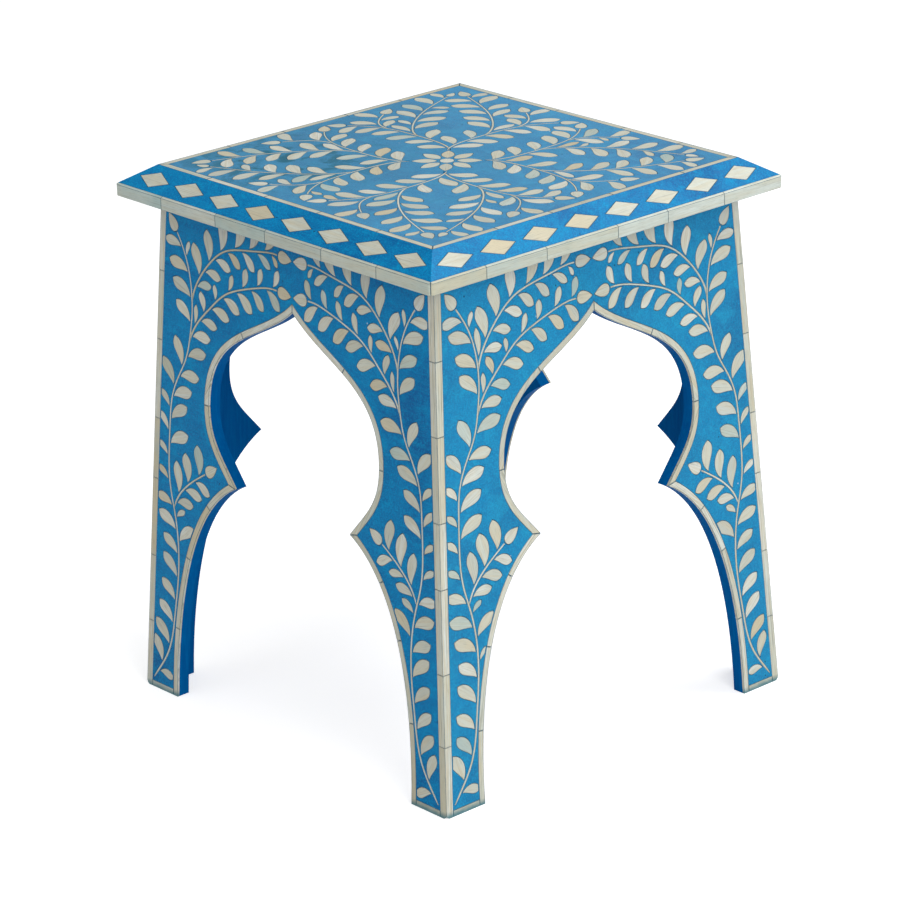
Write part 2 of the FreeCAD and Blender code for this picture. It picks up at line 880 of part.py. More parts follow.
def make_edge_strips():
    rim = slab(top_half, top_half, underside, edge_top)
    inner = top_half - inlay_thickness
    roof_top = bevel_level(inner)
    blank = rim.fuse(slab(top_half, bevel_half(roof_top), edge_top, roof_top))
    blank = blank.cut(slab(inner, inner, underside - overrun, stool_height + overrun))
    rounding = Part.Face(outline([(-top_half, -top_half), (top_half, -top_half), (top_half, top_half),
                                  (-top_half, top_half)])).extrude(FreeCAD.Vector(0, 0, stool_height))
    corner_edges = [e for e in rounding.Edges if abs(e.Vertexes[0].Z - e.Vertexes[-1].Z) > top_thickness]
    rounding = rounding.makeFillet(edge_corner_radius, corner_edges)
    blank = blank.common(rounding)
    return blank.cut(square_saws(top_half, inlay_thickness, underside, roof_top)).Solids


def make_bevel_resin(core):
    """One ring of resin over all four bevels, with a pocket for each diamond."""
    outer = top_half - inlay_thickness - glue_gap
    shoulder = bevel_level(outer)
    ring = slab(outer, ridge_half, shoulder, stool_height)
    ring = ring.fuse(slab(outer, outer, bevel_level(outer, inlay_thickness), shoulder))
    ring = ring.cut(slab(ridge_half, ridge_half, underside, stool_height + overrun))
    ring = ring.cut(core)
    pockets = []
    for side in range(len(sides)):
        for wire in diamond_wires(glue_gap):
            tool = plate([wire], overrun, overrun + 2 * inlay_thickness)
            pockets.append(turned(put(tool, bevel_frame), side))
    return ring.cut(Part.makeCompound(pockets)).Solids


def diamond_wires(grow=0):
    """The diamonds of one bevel in a row along its middle."""
    middle_v = bevel_slope / 2
    room = 2 * bevel_half(mix(edge_top, stool_height, 1 / 2))
    count = max(1, math.floor((room - diamond_length) / diamond_pitch) + 1)
    stretch = math.hypot(diamond_length, diamond_height) / diamond_height
    tall = math.hypot(diamond_length, diamond_height) / diamond_length
    half_long = diamond_length / 2 + grow * stretch
    half_high = diamond_height / 2 + grow * tall
    wires = []
    for i in range(count):
        u = (i - (count - 1) / 2) * diamond_pitch
        wires.append(outline([(u - half_long, middle_v), (u, middle_v - half_high),
                              (u + half_long, middle_v), (u, middle_v + half_high)]))
    return wires


# The top's vine in one eighth of the square, in shares of the resin's half width
trunk_shares = ((0.140, -0.130), (0.176, -0.20), (0.196, -0.30), (0.202, -0.45),
                (0.198, -0.57), (0.178, -0.69), (0.135, -0.785), (0.08, -0.86))
corner_branch_shares = ((0.202, -0.43), (0.212, -0.475), (0.247, -0.535), (0.32, -0.615), (0.44, -0.71),
                        (0.58, -0.79), (0.72, -0.85), (0.81, -0.885))
short_branch_shares = ((0.192, -0.62), (0.188, -0.68), (0.21, -0.755), (0.265, -0.82), (0.35, -0.88))


def top_stem_plans(half):
    plans = []
    length_shares = dict(zip((-1, 1), top_leaf_shares))
    for shares, first, side in ((trunk_shares, 0.25, -1), (corner_branch_shares, 0.6, -1),
                                (short_branch_shares, 0.5, 1)):
        for turn in range(len(sides)):
            for flip in (1, -1):
                points = []
                for x, y in shares:
                    if flip < 0:
                        x, y = -y, -x
                    for _ in range(turn):
                        x, y = -y, x
                    points.append((x * half, y * half))
                plans.append((points, first, side * flip, top_spacing, length_shares))
    return plans


def flower():
    """Eight petals round a small disc, in the middle of the top."""
    eye_edge = Part.makeCircle(flower_eye_radius)
    petal_foot = flower_eye_radius + 5 * glue_gap + 2 * resin_wall
    petals = []
    for i in range(petal_count):
        angle = 2 * math.pi * i / petal_count
        foot = (petal_foot * math.cos(angle), petal_foot * math.sin(angle))
        petals.append(Leaf(foot, angle, flower_radius - petal_foot, petal_width, petal_halves))
    return eye_edge, petals


def square(half):
    return [(-half, -half), (half, -half), (half, half), (-half, half)]


def make_top():
    core = board_blank(inlay_thickness)
    holes = [turned(s, side) for side in range(len(sides)) for s in up_screws(screw_fit)]
    save("top_board", core.cut(Part.makeCompound(holes)).Solids)
    save("edge_strips", make_edge_strips())
    save("bevel_resin", make_bevel_resin(core))
    diamonds = []
    for side in range(len(sides)):
        diamonds += [turned(put(bone(w), bevel_frame), side) for w in diamond_wires()]
    save("bevel_diamonds", diamonds)
    low = stool_height - inlay_thickness
    outer = ridge_half - glue_gap
    inner = ridge_half - top_strip_width
    ring = slab(outer, outer, low, stool_height)
    ring = ring.cut(slab(inner, inner, low - overrun, stool_height + overrun))
    save("top_strips", ring.cut(square_saws(outer, top_strip_width, low, stool_height)).Solids)
    half = inner - glue_gap
    corners = square(half)
    room = Room(leaf_length)
    eye, petals = flower()
    room.take([(0, 0, flower_eye_radius)])
    for petal in petals:
        room.take(petal.room())
    stems, buds, leaves = grow_vine(top_stem_plans(half), room, corners, random.Random(top_seed))
    pocket_limit = Part.Face(outline(square(half - resin_wall)))
    bone_limit = Part.Face(outline(square(half - resin_wall - glue_gap)))
    pockets = stem_pockets(stems) + leaf_pockets(petals + buds + leaves, pocket_limit)
    pockets.append(Part.Wire(Part.makeCircle(flower_eye_radius + glue_gap)))
    flats = {
        "top_resin": plate([outline(corners)] + pockets, 0, inlay_thickness).Solids,
        "top_flower": [bone(Part.Wire(eye))] + [bone(p.wire()) for p in petals],
        "top_stems": [bone_plate(f) for f in stem_faces(stems)],
        "top_buds": [bone(b.wire()) for b in buds],
        "top_leaves": [bone_plate(b.face(bone_limit)) for b in leaves],
    }
    for name, solids in flats.items():
        save(name, [put(s, top_frame) for s in solids])


# Hidden joinery
def inner_half(z):
    """Half the distance between the inner faces of two facing panels at a height."""
    return foot_half - z * splay / underside - panel_depth * slant / underside


def corner_block():
    """A three-sided block that follows both leaning panels into the corner under the top."""
    rings = []
    for z in (underside - block_height, underside):
        half = inner_half(z)
        corners = ((half, -half), (half - block_leg, -half), (half, block_leg - half))
        ring = [FreeCAD.Vector(x, y, z) for x, y in corners]
        rings.append(Part.makePolygon(ring + ring[:1]))
    return Part.makeLoft(rings, True, True)


def screw_places():
    """Where the screws stand along a cleat."""
    run = 2 * (inner_half(underside) - block_leg)
    count = max(2, math.floor(run / screw_spacing) + 1)
    return [(i - (count - 1) / 2) * screw_spacing for i in range(count)]


def screw_profile(clearance):
    """Half the outline of a countersunk screw, its head's face at height zero, its point up."""
    shank = screw_radius + clearance
    head = screw_head_radius + clearance
    point = screw_length - screw_point_depth
    places = ((0, 0), (head, 0), (shank, screw_head_depth), (shank, point), (0, screw_length + clearance))
    return [FreeCAD.Vector(x, 0, z) for x, z in places]


def screw(clearance=0):
    ring = screw_profile(clearance)
    face = Part.Face(Part.makePolygon(ring + ring[:1]))
    return face.revolve(FreeCAD.Vector(0, 0, 0), FreeCAD.Vector(0, 0, 1), full_turn)


def up_screws(clearance=0):
    """Screws from the cleat's lower face up into the top board."""
    y, low = cleat_width / 2 - inner_half(underside), underside - cleat_height
    return [screw(clearance).translated(FreeCAD.Vector(x, y, low)) for x in screw_places()]


def cleat():
    """A batten glued along the inside of the front panel, tight under the top."""
    half_run = inner_half(underside) - block_leg - cleat_end_gap
    low = underside - cleat_height
    back_y = -inner_half(underside)
    face_y = back_y + cleat_width
    corners = ((-inner_half(low), low), (face_y, low), (face_y, underside), (back_y, underside))
    ring = [FreeCAD.Vector(-half_run, y, z) for y, z in corners]
    bar = Part.Face(Part.makePolygon(ring + ring[:1])).extrude(FreeCAD.Vector(2 * half_run, 0, 0))
    return bar.cut(Part.makeCompound(up_screws(screw_fit)))


def make_joinery():
    block, batten = corner_block(), cleat()
    screws = []
    for name, side in sides.items():
        save(name + "_corner_block", [turned(block, side)])
        save(name + "_cleat", turned(batten, side).Solids)
        screws += [turned(s, side) for s in up_screws()]
    save("cleat_screws", screws)


os.makedirs("parts", exist_ok=True)
make_top()
make_panels()
make_joinery()
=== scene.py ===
import math
import random
from functools import cache

import bmesh
import bpy
from bpy.props import FloatProperty, FloatVectorProperty, IntProperty, PointerProperty
from mathutils import Matrix, Vector


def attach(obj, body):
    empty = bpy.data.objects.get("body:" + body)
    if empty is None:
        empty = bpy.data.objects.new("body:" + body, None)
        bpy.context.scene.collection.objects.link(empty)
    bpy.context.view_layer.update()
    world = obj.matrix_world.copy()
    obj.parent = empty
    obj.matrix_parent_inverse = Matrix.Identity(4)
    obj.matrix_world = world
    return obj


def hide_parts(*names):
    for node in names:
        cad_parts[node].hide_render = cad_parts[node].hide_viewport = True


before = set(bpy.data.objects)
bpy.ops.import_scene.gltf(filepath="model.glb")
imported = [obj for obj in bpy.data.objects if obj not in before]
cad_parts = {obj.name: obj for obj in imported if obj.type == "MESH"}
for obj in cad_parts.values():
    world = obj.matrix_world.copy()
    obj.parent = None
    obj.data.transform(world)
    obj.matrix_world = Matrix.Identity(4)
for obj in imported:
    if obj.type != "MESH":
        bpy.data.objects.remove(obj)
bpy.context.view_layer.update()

bl_info = {
    "name": "Inlaid Arch Stool",
    "version": (1, 0, 0),
    "blender": (4, 5, 0),
    "location": "3D View > Sidebar > Stool",
    "description": "Dresses a low square stool: bone pieces set in blue resin over painted boards",
    "category": "Object",
}

sides = ("front", "right", "back", "left")
outward = {
    "front": Vector((0, -1, 0)),
    "right": Vector((1, 0, 0)),
    "back": Vector((0, 1, 0)),
    "left": Vector((-1, 0, 0)),
    "top": Vector((0, 0, 1)),
}


# Values that a user would change
class BoneFinish(bpy.types.PropertyGroup):
    cream: FloatVectorProperty(
        name="Cream bone", description="Colour of most bone pieces",
        subtype="COLOR", size=3, min=0, max=1, default=(0.60, 0.635, 0.56))
    pale: FloatVectorProperty(
        name="Pale bone", description="Colour of the whitest pieces",
        subtype="COLOR", size=3, min=0, max=1, default=(0.68, 0.715, 0.66))
    grey: FloatVectorProperty(
        name="Grey bone", description="Colour of the greyest pieces",
        subtype="COLOR", size=3, min=0, max=1, default=(0.49, 0.535, 0.49))
    tan: FloatVectorProperty(
        name="Tan bone", description="Colour of the yellowest pieces",
        subtype="COLOR", size=3, min=0, max=1, default=(0.57, 0.505, 0.345))
    # Partly a dark glue line and partly painted shade of the narrow gap where each piece meets the
    # resin.
    outline: FloatVectorProperty(
        name="Outline", description="Colour of the dark line where a piece meets the resin",
        subtype="COLOR", size=3, min=0, max=1, default=(0.0, 0.07, 0.125))
    fibre: FloatVectorProperty(
        name="Dark fibre", description="Colour of the darkest fine lines along a piece",
        subtype="COLOR", size=3, min=0, max=1, default=(0.15, 0.15, 0.11))
    soil: FloatVectorProperty(
        name="Blue tint", description="Colour where blue resin has soaked into the bone",
        subtype="COLOR", size=3, min=0, max=1, default=(0.29, 0.46, 0.46))
    wet: FloatVectorProperty(
        name="Foot stain", description="Colour of the stained lower edges of the feet",
        subtype="COLOR", size=3, min=0, max=1, default=(0.02, 0.16, 0.20))
    wet_height: FloatProperty(
        name="Foot stain height", description="How far up from the floor the stain reaches",
        unit="LENGTH", min=0.0005, max=0.02, default=0.004)
    line_width: FloatProperty(
        name="Outline width", description="Width of the darkened line round each piece",
        unit="LENGTH", min=0.0001, max=0.001, default=0.0004)
    edge_width: FloatProperty(
        name="Edge width", description="How far each piece's arris is rubbed round",
        unit="LENGTH", min=0.00002, max=0.0006, default=0.00018)
    pore_size: FloatProperty(
        name="Pore size", description="Width of the fine lines along each piece",
        unit="LENGTH", min=0.0001, max=0.002, default=0.0005)
    seed: IntProperty(
        name="Sorting seed", description="Number that sorts the pieces by tone",
        min=0, default=5)


class ResinFinish(bpy.types.PropertyGroup):
    blue: FloatVectorProperty(
        name="Resin blue", description="Main colour of the poured resin",
        subtype="COLOR", size=3, min=0, max=1, default=(0.0, 0.205, 0.485))
    pale: FloatVectorProperty(
        name="Pale cloud", description="Colour where the pigment is thin",
        subtype="COLOR", size=3, min=0, max=1, default=(0.0, 0.345, 0.65))
    deep: FloatVectorProperty(
        name="Deep cloud", description="Colour where the pigment gathers",
        subtype="COLOR", size=3, min=0, max=1, default=(0.0, 0.10, 0.31))
    teal: FloatVectorProperty(
        name="Teal patch", description="Colour of the few dark green patches in the top",
        subtype="COLOR", size=3, min=0, max=1, default=(0.0, 0.12, 0.19))
    # Painted sheen: this paler blue, laid over the seat's resin, stands in for the white room's
    # reflection on the top.
    worn: FloatVectorProperty(
        name="Worn blue", description="Colour to which the top's resin has been rubbed pale",
        subtype="COLOR", size=3, min=0, max=1, default=(0.13, 0.375, 0.545))
    # Painted light: a paler, greener blue laid over the right panel's resin, the side the key light
    # falls on.
    faded: FloatVectorProperty(
        name="Faded blue", description="Colour towards which the right panel's resin has faded",
        subtype="COLOR", size=3, min=0, max=1, default=(0.10, 0.42, 0.42))
    ink: FloatVectorProperty(
        name="Dark speck", description="Colour of the dark specks in the resin",
        subtype="COLOR", size=3, min=0, max=1, default=(0.003, 0.02, 0.05))
    chalk: FloatVectorProperty(
        name="White speck", description="Colour of the pale specks in the resin",
        subtype="COLOR", size=3, min=0, max=1, default=(0.45, 0.6, 0.72))
    patch_place: FloatVectorProperty(
        name="Teal patch place", description="Point on the seat round which the teal patches lie",
        subtype="TRANSLATION", unit="LENGTH", size=3, default=(-0.10, -0.09, 0.457))
    patch_reach: FloatProperty(
        name="Teal patch reach", description="How far the teal patches spread from their point",
        unit="LENGTH", min=0.01, max=0.4, default=0.10)
    cloud_size: FloatProperty(
        name="Cloud size", description="Width of the pale and deep clouds",
        unit="LENGTH", min=0.01, max=0.3, default=0.07)
    speck_size: FloatProperty(
        name="Speck size", description="Width of dark and white specks in the resin",
        unit="LENGTH", min=0.0002, max=0.003, default=0.0009)


class PaintFinish(bpy.types.PropertyGroup):
    paint: FloatVectorProperty(
        name="Paint", description="Blue paint inside the stool and on its cut edges",
        subtype="COLOR", size=3, min=0, max=1, default=(0.0, 0.098, 0.33))
    worn: FloatVectorProperty(
        name="Thin paint", description="Colour where the paint is brushed thin",
        subtype="COLOR", size=3, min=0, max=1, default=(0.0, 0.15, 0.43))
    brush_width: FloatProperty(
        name="Brush mark width", description="Distance between the marks of the brush",
        unit="LENGTH", min=0.0005, max=0.01, default=0.002)
    edge_width: FloatProperty(
        name="Board edge", description="How far the boards' arrises are eased",
        unit="LENGTH", min=0.0001, max=0.002, default=0.0005)


class WoodFinish(bpy.types.PropertyGroup):
    light: FloatVectorProperty(
        name="Early wood", description="Pale part of the wood's rings",
        subtype="COLOR", size=3, min=0, max=1, default=(0.45, 0.29, 0.15))
    dark: FloatVectorProperty(
        name="Late wood", description="Dark part of the wood's rings",
        subtype="COLOR", size=3, min=0, max=1, default=(0.24, 0.13, 0.06))
    ring_width: FloatProperty(
        name="Ring width", description="Distance between the wood's rings",
        unit="LENGTH", min=0.001, max=0.02, default=0.004)
    zinc: FloatVectorProperty(
        name="Zinc", description="Colour of the screws' plating",
        subtype="COLOR", size=3, min=0, max=1, default=(0.52, 0.50, 0.44))
    dull: FloatVectorProperty(
        name="Dull zinc", description="Colour of the darker spots in the plating",
        subtype="COLOR", size=3, min=0, max=1, default=(0.33, 0.32, 0.30))


class StageSetting(bpy.types.PropertyGroup):
    azimuth: FloatProperty(
        name="Camera azimuth", description="How far round from the front the camera stands",
        subtype="ANGLE", default=math.radians(48.23))
    elevation: FloatProperty(
        name="Camera elevation", description="How far above the horizon the camera stands",
        subtype="ANGLE", default=math.radians(20.61))
    roll: FloatProperty(
        name="Camera roll", description="How far the camera leans to one side",
        subtype="ANGLE", default=math.radians(-1.627))
    distance: FloatProperty(
        name="Camera distance", description="Distance from the camera to the point it looks at",
        unit="LENGTH", min=0.5, max=20, default=3.2952)
    aim: FloatVectorProperty(
        name="Camera aim", description="Point that the camera looks at",
        subtype="TRANSLATION", unit="LENGTH", size=3, default=(-0.0093, 0.0027, 0.2053))
    lens: FloatProperty(
        name="Focal length", description="The camera's focal length, in millimetres",
        min=10, max=500, default=159.21)
    floor_size: FloatProperty(
        name="Floor size", description="Width of the pale floor",
        unit="LENGTH", min=2, max=200, default=60)
    floor_grey: FloatProperty(
        name="Floor grey", description="How pale the floor is, from black to white",
        min=0, max=1, default=0.74)
    floor_glow: FloatProperty(
        name="Floor glow", description="How much the floor is lightened where it is seen",
        min=0, max=1, default=0.62)
    daylight: FloatProperty(
        name="Room light", description="Strength of the even light from all round",
        min=0, max=5, default=0.43)
    key: FloatProperty(
        name="Key light", description="Power of the large soft light on the right",
        unit="POWER", min=0, max=2000, default=40)
    fill: FloatProperty(
        name="Fill light", description="Power of the soft light on the left",
        unit="POWER", min=0, max=2000, default=6)
    overhead: FloatProperty(
        name="Overhead light", description="Power of the soft light above",
        unit="POWER", min=0, max=2000, default=34)


# Finishes
def opaque(colour):
    """A colour with full cover, or the socket that gives one."""
    return colour if isinstance(colour, bpy.types.NodeSocket) else (*colour, 1)


class Surface:
    """The nodes of a material or of the room: adds them by kind, and sets or links their inputs."""

    def __init__(self, owner):
        owner.use_nodes = True
        self.owner = owner
        self.nodes = owner.node_tree.nodes
        self.links = owner.node_tree.links
        self.nodes.clear()

    def add(self, kind, inputs=None, **settings):
        node = self.nodes.new(kind)
        for name, value in settings.items():
            setattr(node, name, value)
        for name, value in (inputs or {}).items():
            if isinstance(value, bpy.types.NodeSocket):
                self.links.new(value, node.inputs[name])
            else:
                node.inputs[name].default_value = value
        return node

    def place(self):
        """Where a point of the surface lies, in metres."""
        return self.add("ShaderNodeTexCoord").outputs["Object"]

    def carried(self, name):
        """A value that the faces of a dressed piece carry."""
        return self.add("ShaderNodeAttribute", attribute_name=name).outputs["Fac"]

    def noise(self, place, scale, detail=3.0, rough=0.5, distortion=0.0):
        inputs = {"Vector": place, "Scale": scale, "Detail": detail, "Roughness": rough,
                  "Distortion": distortion}
        return self.add("ShaderNodeTexNoise", inputs).outputs["Fac"]

    def stretched(self, place, scale, rotation=(0, 0, 0)):
        inputs = {"Vector": place, "Rotation": rotation, "Scale": scale}
        return self.add("ShaderNodeMapping", inputs).outputs["Vector"]

    def streaks(self, place, scale, detail=3.0, rough=0.5, rotation=(0, 0, 0)):
        """Noise with a scale of its own along each axis, for marks that run one way."""
        return self.noise(self.stretched(place, scale, rotation), 1.0, detail, rough)

    def ramp(self, value, stops):
        node = self.add("ShaderNodeValToRGB", {"Fac": value})
        elements = node.color_ramp.elements
        while len(elements) < len(stops):
            elements.new(0.5)
        for element, (place, colour) in zip(elements, stops):
            element.position = place
            element.color = opaque(colour)
        return node.outputs["Color"]

    def step(self, value, low, high, start=0.0, end=1.0):
        """Goes from start to end as the value goes from low to high."""
        inputs = {"Value": value, "From Min": low, "From Max": high, "To Min": start, "To Max": end}
        return self.add("ShaderNodeMapRange", inputs, clamp=True).outputs["Result"]

    def math(self, operation, first, second):
        node = self.add("ShaderNodeMath", {0: first, 1: second}, operation=operation)
        return node.outputs["Value"]

    def mix(self, share, first, second):
        inputs = {0: share, 6: opaque(first), 7: opaque(second)}
        return self.add("ShaderNodeMix", inputs, data_type="RGBA").outputs[2]

    def over(self, base, colour, mask, low, high, start=0.0, end=1.0, times=None):
        """Lays a colour over the base, by a share that steps with the mask."""
        share = self.step(mask, low, high, start, end)
        if times is not None:
            share = self.math("MULTIPLY", times, share)
        return self.mix(share, base, colour)

    def bump(self, height, strength, distance):
        inputs = {"Height": height, "Strength": strength, "Distance": distance}
        return self.add("ShaderNodeBump", inputs).outputs["Normal"]

    def finish(self, inputs):
        shader = self.add("ShaderNodeBsdfPrincipled", inputs)
        self.add("ShaderNodeOutputMaterial", {"Surface": shader.outputs["BSDF"]})
        return self.owner


def new_surface(name):
    return Surface(bpy.data.materials.new(name))


def bone_material(finish):
    """Polished bone: each piece has its own tone, fine lines along it and a dark outline, partly a
    glue line and partly painted shade of the gap round the piece.
    """
    s = new_surface("polished_bone")
    along = s.add("ShaderNodeUVMap", uv_map="grain").outputs["UV"]
    place = s.place()
    rim, soiled, streaky = (s.carried(name) for name in ("rim", "soil", "streaky"))
    tones = ((0.0, finish.tan), (0.17, finish.cream), (0.45, finish.cream), (0.66, finish.grey),
             (0.82, finish.pale), (1.0, finish.pale))
    base = s.ramp(s.carried("tone"), tones)
    fine = 1 / finish.pore_size
    lines = s.streaks(along, (fine / 24, fine, 1), 4.0, 0.6)
    bands = s.streaks(along, (fine / 80, fine / 8, 1), 2.0)
    stripes = s.streaks(along, (fine / 160, fine / 2.6, 1), 3.0, 0.65)
    hairs = s.streaks(along, (fine / 150, fine / 2.2, 1), 1.0)
    patches = s.noise(place, 55.0, 3.0, 0.55)
    stains = s.noise(place, 24.0, 3.0, 0.6)
    base = s.over(base, finish.tan, bands, 0.4, 0.72, end=0.6)
    base = s.over(base, finish.tan, stripes, 0.46, 0.6, times=streaky)
    base = s.over(base, finish.grey, patches, 0.5, 0.75, end=0.5)
    base = s.over(base, finish.soil, stains, 0.3, 0.62, 0.55, 1.25, times=soiled)
    base = s.over(base, finish.fibre, lines, 0.53, 0.75, end=0.55)
    base = s.over(base, finish.fibre, hairs, 0.6, 0.66, end=0.6, times=streaky)
    # The outline colour on each piece's edge band and eased arris: partly a glue line, partly
    # painted shade of the gap round it.
    base = s.mix(rim, base, finish.outline)
    height = s.add("ShaderNodeSeparateXYZ", {"Vector": place}).outputs["Z"]
    drips = s.math("MULTIPLY", s.noise(place, 130.0, 3.0, 0.6), -finish.wet_height)
    ragged = s.math("ADD", height, drips)
    dry, soaked = 0.9 * finish.wet_height, -0.2 * finish.wet_height
    base = s.over(base, finish.wet, ragged, soaked, dry, 0.85, 0.0)
    smooth = s.step(patches, 0.3, 0.7, 0.3, 0.46)
    relief = s.math("ADD", s.math("MULTIPLY", lines, -1.0), s.math("MULTIPLY", patches, 0.6))
    normal = s.bump(relief, 0.25, 0.0002)
    return s.finish({"Base Color": base, "Roughness": smooth, "Normal": normal,
                     "Specular IOR Level": 0.3})


def with_patches(s, finish, place, base):
    """Lays the few dark green patches over the resin, round their point on the seat."""
    reach = finish.patch_reach
    pools = s.noise(place, 3.2 / finish.cloud_size, 4.0, 0.6, 0.9)
    ends = {0: place, 1: finish.patch_place}
    away = s.add("ShaderNodeVectorMath", ends, operation="DISTANCE").outputs["Value"]
    around = s.step(away, 0.3 * reach, reach, 0.9, 0.1)
    base = s.over(base, finish.teal, pools, 0.5, 0.60, times=around)
    return s.over(base, finish.teal, away, 0.5 * reach, 2.4 * reach, 0.25, 0.0)


# Specks: cells to the metre, with one speck at most in each, and the shares of cells that have one
speck_cells = 90.0
dark_share, white_share = 0.2, 0.06


def with_specks(s, finish, place, base):
    """Lays dark and pale specks over the resin."""
    cells = s.add("ShaderNodeTexVoronoi", {"Vector": place, "Scale": speck_cells}).outputs
    draw = s.add("ShaderNodeSeparateColor", {"Color": cells["Color"]}).outputs["Red"]
    radius = finish.speck_size * speck_cells
    near = s.step(cells["Distance"], 0.65 * radius, radius, 1.0, 0.0)
    dark = s.math("MULTIPLY", near, s.math("GREATER_THAN", draw, 1 - dark_share))
    white = s.math("MULTIPLY", near, s.math("LESS_THAN", draw, white_share))
    base = s.mix(s.math("MULTIPLY", dark, 0.8), base, finish.ink)
    return s.mix(s.math("MULTIPLY", white, 0.75), base, finish.chalk)


def resin_material(finish, name="cloudy_resin", worn=None, painted_light_share=0.0, patched=False):
    """Poured resin, sanded flat and polished: cloudy pigment, specks and faint sanding lines."""
    s = new_surface(name)
    place = s.place()
    broad = s.noise(place, 1 / finish.cloud_size, 3.0, 0.5, 0.4)
    wisps = s.noise(place, 4 / finish.cloud_size, 4.0, 0.6, 1.2)
    grain = s.noise(place, 900.0, 2.0, 0.6)
    strokes = s.streaks(place, (26.0, 420.0, 420.0), 3.0, 0.6, rotation=(0.5, 0.5, 0.75))
    base = s.over(finish.blue, finish.deep, broad, 0.48, 0.72)
    base = s.over(base, finish.pale, wisps, 0.5, 0.75, end=0.7)
    base = s.over(base, finish.deep, grain, 0.46, 0.62, end=0.5)
    base = s.over(base, finish.pale, grain, 0.48, 0.36, end=0.5)
    base = s.over(base, finish.pale, strokes, 0.42, 0.7, end=0.25)
    # A paler blue laid in wisps over the resin is painted light: sheen on the seat, and the key
    # light on the right panel.
    if painted_light_share:
        base = s.over(base, worn, wisps, 0.25, 0.7, painted_light_share * 0.6, painted_light_share)
    if patched:
        base = with_patches(s, finish, place, base)
    base = with_specks(s, finish, place, base)
    scratches = s.streaks(place, (140.0, 1400.0, 420.0), 2.0)
    waves = s.noise(place, 60.0, 2.0)
    relief = s.math("ADD", waves, s.math("MULTIPLY", scratches, 0.12))
    normal = s.bump(relief, 0.3, 0.0003)
    smooth = s.step(wisps, 0.3, 0.7, 0.24, 0.36)
    return s.finish({"Base Color": base, "Roughness": smooth, "Normal": normal,
                     "Specular IOR Level": 0.07})


def seat_resin_material(finish):
    """The resin of the seat, with a paler blue laid over it in wisps as painted sheen from the
    white room, and its few dark green patches.
    """
    return resin_material(finish, "seat_resin", finish.worn, 0.42, patched=True)


def lit_side_resin_material(finish):
    """The resin of the right panel, with painted light: a paler, greener blue laid over it stands
    in for the key light falling on that side.
    """
    return resin_material(finish, "faded_resin", finish.faded, 0.17)


def paint_material(finish):
    """Blue paint brushed on wood, satin, with the brush's marks and thin places."""
    s = new_surface("brushed_paint")
    place = s.place()
    fine = 1 / finish.brush_width
    marks = s.streaks(place, (fine, fine, fine / 30), 3.0, 0.6)
    blots = s.noise(place, 18.0, 4.0, 0.6)
    base = s.over(finish.paint, finish.worn, marks, 0.42, 0.8, end=0.7)
    base = s.over(base, finish.worn, blots, 0.5, 0.8, end=0.6)
    normal = s.bump(marks, 0.4, 0.0004)
    smooth = s.step(blots, 0.3, 0.7, 0.42, 0.58)
    return s.finish({"Base Color": base, "Roughness": smooth, "Normal": normal,
                     "Specular IOR Level": 0.01})


def wood_material(finish):
    """Plain planed softwood with rings and fine fibres."""
    s = new_surface("planed_softwood")
    place = s.place()
    drift = s.noise(s.stretched(place, (6.0, 6.0, 1.0)), 3.0, 2.0)
    waves = {"Vector": s.stretched(place, (1.0, 1.0, 0.15)), "Scale": 0.16 / finish.ring_width,
             "Distortion": 6.0, "Detail": 2.0, "Detail Scale": 1.5}
    rings = s.add("ShaderNodeTexWave", waves, bands_direction="DIAGONAL").outputs["Fac"]
    fibres = s.streaks(place, (1500.0, 1500.0, 60.0))
    base = s.over(finish.light, finish.dark, rings, 0.35, 0.95)
    base = s.over(base, finish.dark, fibres, 0.5, 0.8, end=0.5)
    base = s.over(base, finish.dark, drift, 0.4, 0.8, end=0.35)
    normal = s.bump(fibres, 0.35, 0.0003)
    smooth = s.step(rings, 0.0, 1.0, 0.7, 0.55)
    return s.finish({"Base Color": base, "Roughness": smooth, "Normal": normal})


def zinc_material(finish):
    """Zinc plated steel, slightly mottled."""
    s = new_surface("zinc_plate")
    spangle = s.noise(s.place(), 900.0, 3.0, 0.6)
    base = s.over(finish.zinc, finish.dull, spangle, 0.35, 0.7, end=0.6)
    smooth = s.step(spangle, 0.3, 0.7, 0.28, 0.5)
    normal = s.bump(spangle, 0.2, 0.0001)
    return s.finish({"Base Color": base, "Roughness": smooth, "Normal": normal, "Metallic": 1.0})


makers = {
    "bone": (bone_material, "stool_bone"),
    "blue_resin": (resin_material, "stool_resin"),
    "seat_resin": (seat_resin_material, "stool_resin"),
    "faded_resin": (lit_side_resin_material, "stool_resin"),
    "painted_wood": (paint_material, "stool_paint"),
    "raw_wood": (wood_material, "stool_wood"),
    "steel": (zinc_material, "stool_wood"),
}


@cache
def material(kind):
    """The material of a kind, made when it is first asked for."""
    make, group = makers[kind]
    return make(getattr(bpy.context.scene, group))


# Pieces taken from a node of the frame
merge_distance = 0.000002  # points closer than this become one
flat_angle = math.radians(0.6)  # faces that meet flatter than this become one
sharp_angle = math.radians(28)  # arrises sharper than this are eased
arris_steps, arris_profile = 2, 0.6  # faces across an eased arris, and how full it is
outward_weight = 1.2  # how much more a face that looks outward counts
# The outline colour laid near a piece's edge and on its arris is partly painted shade of the gap
# round it.
band_shade, arris_shade = 0.85, 0.9  # shares of the outline's colour near the edge and on it
stock_length = 50  # length and width of the grain that the pieces are cut from, in metres
least_soak = 0.3  # the least tint of a tinted piece, as a share of the most
broad_share = 0.125  # faces with more than this share of the largest one's area stay flat
seeds_apart = 100  # room for the seeds of the five places of a kind


def middle(faces):
    """The mean of a piece's points, summed exactly, so that every run gives the same."""
    points = {v for f in faces for v in f.verts}
    return [math.fsum(v.co[axis] for v in points) / len(points) for axis in range(3)]


